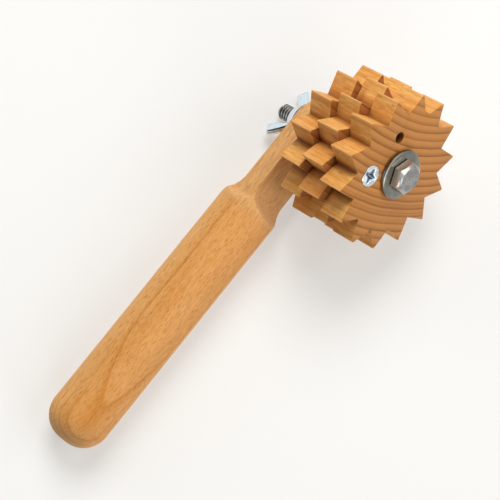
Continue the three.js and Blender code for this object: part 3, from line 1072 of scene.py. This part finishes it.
@dataclass
class Bolt:
    """The hex bolt, its washers and its jam nut."""

    stack: Stack
    radius: float = 3.175
    pitch: float = 1.27
    thread_length: float = 19.05
    across_flats: float = 11.1
    hex_turn: float = 36.5
    side_steps: int = 12
    face_share: float = 0.82
    chamfer: float = 30.0
    arris: float = 0.1
    overlap: float = 0.3
    front_washer_radius: float = 9.4
    small_washer_radius: float = 7.95
    washer_bore: float = 3.455
    washer_roll: float = 2.4
    washer_drop: float = 0.4
    roll_steps: int = 10
    bore_edge: float = 0.15
    rim_edge: float = 0.1
    back_edge: float = 0.08
    nut_bore: float = 3.425
    facets: int = 96
    shank_facets: int = 48
    thread_facets: int = 36
    smooth: float = 28.0
    sharper: float = 48.0

    def build(self) -> None:
        """Makes the bolt, the washers and the jam nut."""
        release(self.bolt(), Body.HANDLE, TURNED_STEEL, "axle_bolt")
        front = self.washer("wide_front_washer", self.front_washer_radius, self.stack.front_washer)
        release(front, Body.HANDLE, STEEL, "front_washer")
        inner = self.washer("inner_flat_washer", self.small_washer_radius, self.stack.inner_washer)
        release(inner, Body.HANDLE, SHADED_STEEL, "inner_washer")
        rear = self.washer("rear_flat_washer", self.small_washer_radius, self.stack.rear_washer)
        release(rear, Body.WASHER, SHADED_STEEL, "rear_washer")
        release(self.jam_nut(), Body.HANDLE, ZINC, "jam_nut")

    def cap(self, piece: Piece, face: float, inwards: float, bore: float = 0.0) -> Edges:
        """Makes the chamfered end of a hexagon.

        Args:
            piece: The piece being shaped.
            face: Where its flat face is.
            inwards: 1 where the body lies further along the bolt, or -1.
            bore: The radius of the hole in it, or 0.

        Returns:
            The edges where the chamfer meets the flats.
        """
        flat = self.across_flats / 2 * self.face_share
        turns = (self.hex_turn + side * 60 for side in range(7))
        ends = [Vector(on_circle(self.across_flats / sqrt(3), turn)) for turn in turns]
        shares = [step / self.side_steps for step in range(self.side_steps)]
        sides = (start.lerp(end, share) for start, end in zip(ends, ends[1:]) for share in shares)
        rim = piece.loop([point.normalized() * flat for point in sides], face)
        piece.fill(rim + (piece.loop(ring_points(bore, len(rim)), face) if bore else []))
        outer = piece.wall(rim, face)
        slope = tan(radians(self.chamfer))
        for vert in {vert for edge in outer for vert in edge.verts}:
            angle = atan2(vert.co.z, vert.co.x) - radians(self.hex_turn + 30)
            within = (angle + pi / 6) % (pi / 3) - pi / 6
            reach = self.across_flats / 2 / cos(within)
            vert.co.x *= reach / flat
            vert.co.z *= reach / flat
            vert.co.y = face + inwards * (reach - flat) * slope
        return outer

    def bolt(self) -> Mesh:
        """Makes the bolt: chamfered hex head, plain shank and rolled thread.

        Returns:
            The mesh.
        """
        piece = Piece()
        stack = self.stack
        thread = stack.bolt_end - self.thread_length
        piece.screw(self.radius, self.pitch, thread, stack.bolt_end, self.thread_facets)
        flats = self.cap(piece, stack.head_face, 1.0)
        piece.fill(piece.wall(flats, stack.head_back))
        low, high = stack.head_back - self.overlap, thread + self.overlap
        shank = ((0.0, low), (self.radius, low), (self.radius, high), (0.0, high))
        piece.spin(shank, self.shank_facets)
        return piece.mesh("hex_bolt", self.smooth, self.arris, self.sharper)

    def washer(self, name: str, radius: float, face: float) -> Mesh:
        """Makes a punched washer, rolled over at one edge.

        Args:
            name: The piece's name.
            radius: Its outside radius.
            face: Its face nearest the bolt's head.

        Returns:
            The mesh.
        """
        piece = Piece()
        back = face + self.stack.washer
        bore = self.washer_bore
        profile = [(bore + self.bore_edge, face), (radius - self.washer_roll, face)]
        for step in range(1, self.roll_steps + 1):
            angle = pi / 2 * step / self.roll_steps
            reach = radius - self.washer_roll * (1 - sin(angle))
            profile.append((reach, face + self.washer_drop * (1 - cos(angle))))
        profile += [(radius, back - self.rim_edge), (radius - self.rim_edge, back)]
        profile += [(bore + self.back_edge, back), (bore, back - self.back_edge)]
        profile.append((bore, face + self.bore_edge))
        piece.spin(profile, self.facets, closed=True)
        return piece.mesh(name, smooth=40.0)

    def jam_nut(self) -> Mesh:
        """Makes the hex nut that clamps the bolt to the neck.

        Returns:
            The mesh.
        """
        piece = Piece()
        face = self.stack.jam_nut
        back = face + self.stack.jam_nut_height
        front_flats = self.cap(piece, face, 1.0, self.nut_bore)
        self.cap(piece, back, -1.0, self.nut_bore)
        for vert in {vert for edge in piece.wall(front_flats, back) for vert in edge.verts}:
            reach = hypot(vert.co.x, vert.co.z) - self.across_flats / 2 * self.face_share
            vert.co.y = back - reach * tan(radians(self.chamfer))
        piece.wall(piece.loop(ring_points(self.nut_bore, 6 * self.side_steps), face), back)
        return piece.mesh("hex_jam_nut", self.smooth, self.arris, self.sharper)


@dataclass
class WingNut:
    """The wing nut at the bolt's far end."""

    stack: Stack
    base_radius: float = 6.6
    top_radius: float = 4.5
    collar: float = 1.2
    height: float = 4.8
    root_radius: float = 3.5
    root_low: float = 1.6
    root_high: float = 4.6
    outer: Point = (12.4, 9.1)
    inner: Point = (8.0, 11.65)
    edge_ease: float = 1.0
    bow: float = 0.7
    thickness: float = 3.0
    turn: float = 10.0
    bore: float = 3.3
    facets: int = 64
    smooth: float = 50.0
    steps: int = 4

    def build(self) -> None:
        """Makes the nut: barrel and ears fused, then bored."""
        piece = Piece()
        base = self.stack.wing_nut
        top = base + self.height
        low = ((0.0, base), (self.base_radius, base), (self.base_radius, base + self.collar))
        piece.spin((*low, (self.top_radius, top), (0.0, top)), self.facets)
        for side in (0.0, 180.0):
            self.ear(piece, base, side + self.turn)
        rough = piece.mesh("forged_wing_nut", self.smooth)
        mesh = Bore(self.bore, base, top).cut(rough, self.smooth, fused=True)
        release(mesh, Body.NUT, ZINC, "wing_nut")

    def ear(self, piece: Piece, base: float, degrees: float) -> None:
        """Adds one ear.

        Args:
            piece: The piece being shaped.
            base: The nut's face on the washer.
            degrees: The way the ear points.
        """
        low = Vector((self.root_radius, self.root_low))
        high = Vector((self.root_radius, self.root_high))
        outer, inner = Vector(self.outer), Vector(self.inner)
        across = (outer - inner).normalized() * self.bow
        outline = curve(low, (low + outer) / 2 + across, outer, self.steps)
        outline += curve(inner, (high + inner) / 2 - across, high, self.steps)
        verts = [piece.bm.verts.new((x, base + y, -self.thickness / 2)) for x, y in outline]
        made = bmesh.ops.extrude_face_region(piece.bm, geom=[piece.bm.faces.new(verts)])["geom"]
        far = [item for item in made if isinstance(item, bmesh.types.BMVert)]
        bmesh.ops.translate(piece.bm, verts=far, vec=(0.0, 0.0, self.thickness))
        swing = Matrix.Rotation(radians(degrees), 3, "Y")
        bmesh.ops.rotate(piece.bm, verts=verts + far, matrix=swing)
        piece.ease(self.edge_ease, segments=self.steps, own=set(verts + far))


@dataclass
class Handle:
    """The turned beech handle with its flat neck."""

    stack: Stack
    radius: float = 11.885
    length: float = 148.6
    end_radius: float = 10.4
    bar_middle: float = 44.25
    half_width: float = 9.4
    neck_length: float = 30.8
    side_length: float = 36.5
    cove_radius: float = 10.0
    shoulder_rise: float = 1.6
    shoulder_length: float = 3.0
    margin: float = 0.3
    arris: float = 0.7
    bore: float = 3.475
    smooth: float = 40.0
    facets: int = 192
    round_steps: int = 16
    neck_step: float = 3.0
    shoulder_step: float = 0.35
    shoulder_steps: int = 37
    bar_steps: int = 30
    end_steps: int = 24

    def build(self) -> None:
        """Makes the handle from its cross-sections, then bores it."""
        piece = Piece()
        previous: Edges = []
        for place, radius in self.stations():
            ring = self.section(piece, place, radius)
            if previous:
                bmesh.ops.bridge_loops(piece.bm, edges=previous + ring)
            previous = ring
        open_ends = [edge for edge in piece.bm.edges if edge.is_boundary]
        bmesh.ops.holes_fill(piece.bm, edges=open_ends, sides=0)
        bore = Bore(self.bore, self.stack.neck_face, self.stack.neck_back)
        mesh = bore.cut(piece.mesh("turned_beech_handle", self.smooth), self.smooth)
        release(mesh, Body.HANDLE, HANDLE_BEECH, "handle")

    def stations(self) -> list[Point]:
        """Lists the cross-sections.

        Returns:
            Each one's place along the handle and radius.
        """
        quarter = pi / 2
        edge = -self.neck_length
        start = edge - self.shoulder_step * self.shoulder_steps
        crown_at = -(self.length - self.end_radius)
        rounds = (cos(quarter * step / self.round_steps) for step in range(self.round_steps))
        places = [self.half_width * share for share in rounds]
        places += [-self.neck_step * step for step in range(int(self.neck_length / self.neck_step) + 1)]
        places += [edge - self.shoulder_step * step for step in range(self.shoulder_steps + 1)]
        places += [start + (crown_at - start) * step / self.bar_steps for step in range(1, self.bar_steps)]
        stations = [(place, self.radius) for place in places]
        crown = self.radius - self.end_radius
        for step in range(self.end_steps + 1):
            angle = quarter * step / self.end_steps
            reach = self.end_radius * sin(angle)
            stations.append((crown_at - reach, crown + self.end_radius * cos(angle)))
        return stations

    def cove(self, place: float, depth: float) -> float:
        """Gives how far the surface stands from the neck's face.

        Args:
            place: The section's place along the handle.
            depth: How far the bar's outside stands from it.

        Returns:
            The distance.
        """
        run = -place
        swing = acos(1 - (depth - self.shoulder_rise) / self.cove_radius)
        edge = self.neck_length + self.cove_radius * sin(swing)
        crest = edge + self.shoulder_rise / tan(swing)
        end = edge + self.shoulder_length
        if run <= self.neck_length:
            return 0.0
        if run <= edge:
            return self.cove_radius - sqrt(self.cove_radius**2 - (run - self.neck_length) ** 2)
        if run >= end:
            return depth
        a, b, c = edge - 2 * crest + end, 2 * (crest - edge), edge - run
        t = (-b + sqrt(b * b - 4 * a * c)) / (2 * a) if abs(a) > 1e-9 else -c / b
        return (1 - t) ** 2 * (depth - self.shoulder_rise) + 2 * t * (1 - t) * depth + t * t * depth

    def width(self, place: float) -> float:
        """Gives the half width allowed at a place along the handle.

        Args:
            place: The place.

        Returns:
            The half width.
        """
        if place > 0:
            return sqrt(max(self.half_width**2 - place**2, 0.0))
        wide_at = self.neck_length + self.cove_radius + self.margin
        share = (-place - self.side_length) / (wide_at - self.side_length)
        share = min(max(share, 0.0), 1.0)
        smooth = share * share * (3 - 2 * share)
        return self.half_width + (self.radius + self.margin - self.half_width) * smooth

    def section(self, piece: Piece, place: float, radius: float) -> Edges:
        """Adds one cross-section: a circle pressed in by the neck's faces and sides.

        Args:
            piece: The piece being shaped.
            place: Its place along the handle.
            radius: The bar's radius there.

        Returns:
            Its edges.
        """
        outer = self.radius + self.margin
        front_depth = self.bar_middle - self.stack.neck_face
        back_depth = self.stack.neck_back - self.bar_middle
        front = front_depth + self.cove(place, outer - front_depth)
        back = back_depth + self.cove(place, outer - back_depth)
        width = self.width(place)
        made = bmesh.ops.create_circle(piece.bm, radius=radius, segments=self.facets)["verts"]
        for vert in made:
            along_bolt, up = vert.co.x, vert.co.y
            limit = back if along_bolt > 0 else front
            along_bolt = copysign(self.press(abs(along_bolt), limit), along_bolt)
            up = copysign(self.press(abs(up), width), up)
            vert.co = (place, self.bar_middle + along_bolt, up)
        return list(dict.fromkeys(edge for vert in made for edge in vert.link_edges if edge.is_wire))

    def press(self, reach: float, limit: float) -> float:
        """Holds a distance under a limit, rounding the change from one to the other.

        Args:
            reach: The distance.
            limit: The limit.

        Returns:
            The distance that is left.
        """
        blend = min(self.arris, max(limit, 0.0))
        near = max(blend - abs(reach - limit), 0.0) / blend if blend > 0 else 0.0
        return max(min(reach, limit) - near * near * blend / 4, 0.0)


@dataclass
class Studio:
    """Floor, soft light, the surround and the camera."""

    lens: float = 116.0393
    eye: Triple = (-0.08443618, 0.03858343, 0.60458445)
    aim: Triple = (5.04346922, -7.87336086, -50.79920886)
    floor_size: float = 4.0
    floor_colour: Colour = (0.86, 0.85, 0.82, 1.0)
    floor_glow: Colour = (0.975, 0.965, 0.935, 1.0)
    floor_glow_share: float = 0.42
    floor_falloff_shade: Colour = (0.56, 0.56, 0.555, 1.0)
    floor_falloff_reach: Point = (0.17, 0.3)
    lamp_distance: float = 1.3
    lamp_target: Triple = (0.0, 0.0, 0.02)
    lamp_size: float = 0.75
    side_lamp_size: float = 1.0
    surround: Colour = (0.96, 0.985, 1.0, 1.0)
    bright_way: Triple = (0.2, 0.62, 0.76)
    bright_span: tuple[float, ...] = (-0.75, 0.75, 0.6, 1.0)
    dark_ways: tuple[Triple, Triple] = ((-0.17, 0.06, 0.98), (-0.12, 0.72, 0.68))
    dark_span: tuple[float, ...] = (0.95, 0.8, 0.05, 1.0)
    surround_light: float = 0.06

    def build(self) -> None:
        """Makes the camera, the floor, the lamps and the world."""
        self.camera()
        self.floor()
        self.lamp("key_softbox", way=0.0, height=50.0, power=13.7).visible_glossy = False
        self.lamp("side_softbox", way=88.0, height=50.0, power=5.6).data.size = self.side_lamp_size
        self.lamp("front_softbox", way=135.0, height=25.0, power=4.2)
        self.lamp("low_softbox", way=180.0, height=25.0, power=4.0)
        self.lamp("back_softbox", way=310.0, height=30.0, power=3.4).visible_glossy = False
        self.world()

    def camera(self) -> None:
        """Stands the camera where the photograph was taken from."""
        data = bpy.data.cameras.new("camera")
        data.lens = self.lens
        data.sensor_width = 36.0
        data.clip_start = 0.01
        camera = stand("camera", data)
        camera.location = self.eye
        camera.rotation_euler = [radians(angle) for angle in self.aim]
        bpy.context.scene.camera = camera

    def floor(self) -> None:
        """Lays the pale floor, which darkens further out with painted fall-off of light."""
        bm = bmesh.new()
        bmesh.ops.create_grid(bm, x_segments=1, y_segments=1, size=self.floor_size / 2)
        mesh = bpy.data.meshes.new("floor")
        bm.to_mesh(mesh)
        bm.free()
        coat = Coat("pale_floor")
        reach = coat.arrow("LENGTH", coat.coords("Object")).outputs["Value"]
        # Painted shade: beyond a short reach the floor's colour and glow darken, standing in for the
        # lamps' fall-off, and the metal mirrors it.
        far = coat.span(reach, *self.floor_falloff_reach)
        colour = coat.blend(far, self.floor_colour, self.floor_falloff_shade)
        coat.put(Base_Color=colour, Roughness=0.9, Specular_IOR_Level=0.1)
        glow = coat.node("Emission", {"Color": coat.blend(far, self.floor_glow, self.floor_falloff_shade)})
        share = coat.times(coat.seen(), self.floor_glow_share)
        shaders = {0: share, 1: coat.shader.outputs["BSDF"], 2: glow.outputs["Emission"]}
        coat.feed(coat.output.inputs["Surface"], coat.node("MixShader", shaders).outputs["Shader"])
        mesh.materials.append(coat.material)
        stand("floor", mesh)

    def lamp(self, name: str, way: float, height: float, power: float) -> bpy.types.Object:
        """Hangs a round softbox that faces the tool.

        Args:
            name: The lamp's name.
            way: Its direction in degrees, clockwise from the picture's top.
            height: Its height in degrees above the bench.
            power: Its power in watts.

        Returns:
            The lamp.
        """
        data = bpy.data.lights.new(name, "AREA")
        data.shape = "DISK"
        data.size = self.lamp_size
        data.energy = power
        heading = radians(self.aim[2] + 90.0 - way)
        flat = cos(radians(height))
        ray = Vector((cos(heading) * flat, sin(heading) * flat, sin(radians(height))))
        lamp = stand(name, data)
        lamp.location = Vector(self.lamp_target) + ray * self.lamp_distance
        lamp.rotation_euler = ray.to_track_quat("Z", "Y").to_euler()
        return lamp

    def world(self) -> None:
        """Sets a surround that pales upwards and towards the wing nut, with two dark patches.

        It is mostly there for the metal to mirror, and lights the tool only a little.
        """
        world = bpy.data.worlds.new("studio")
        world.use_nodes = True
        graph = Graph(world.node_tree)
        coords = graph.coords("Generated")

        def towards(way: Triple) -> Socket:
            """Gives how nearly the view runs a way, 1 straight along it."""
            return graph.arrow("DOT_PRODUCT", coords, Vector(way).normalized()).outputs["Value"]

        level = graph.span(towards(self.bright_way), *self.bright_span)
        for way in self.dark_ways:
            level = graph.times(level, graph.span(towards(way), *self.dark_span))
        strength = graph.times(level, graph.span(graph.seen(), 0.0, 1.0, self.surround_light, 1.0))
        background = graph.node("Background", {"Color": self.surround, "Strength": strength})
        graph.node("OutputWorld", {"Surface": background.outputs["Background"]})
        bpy.context.scene.world = world


def main() -> None:
    """Loads the frame, dresses the tool and sets the stage."""
    logging.basicConfig(level=logging.INFO, format="%(name)s: %(message)s")
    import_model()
    bpy.context.scene.view_settings.view_transform = "Standard"
    stack = Stack()
    for assembly in (Handle(stack), Wheel(stack), Bolt(stack), WingNut(stack), Studio()):
        assembly.build()
        LOG.info("%s built", type(assembly).__name__)


if __name__ == "__main__":
    main()
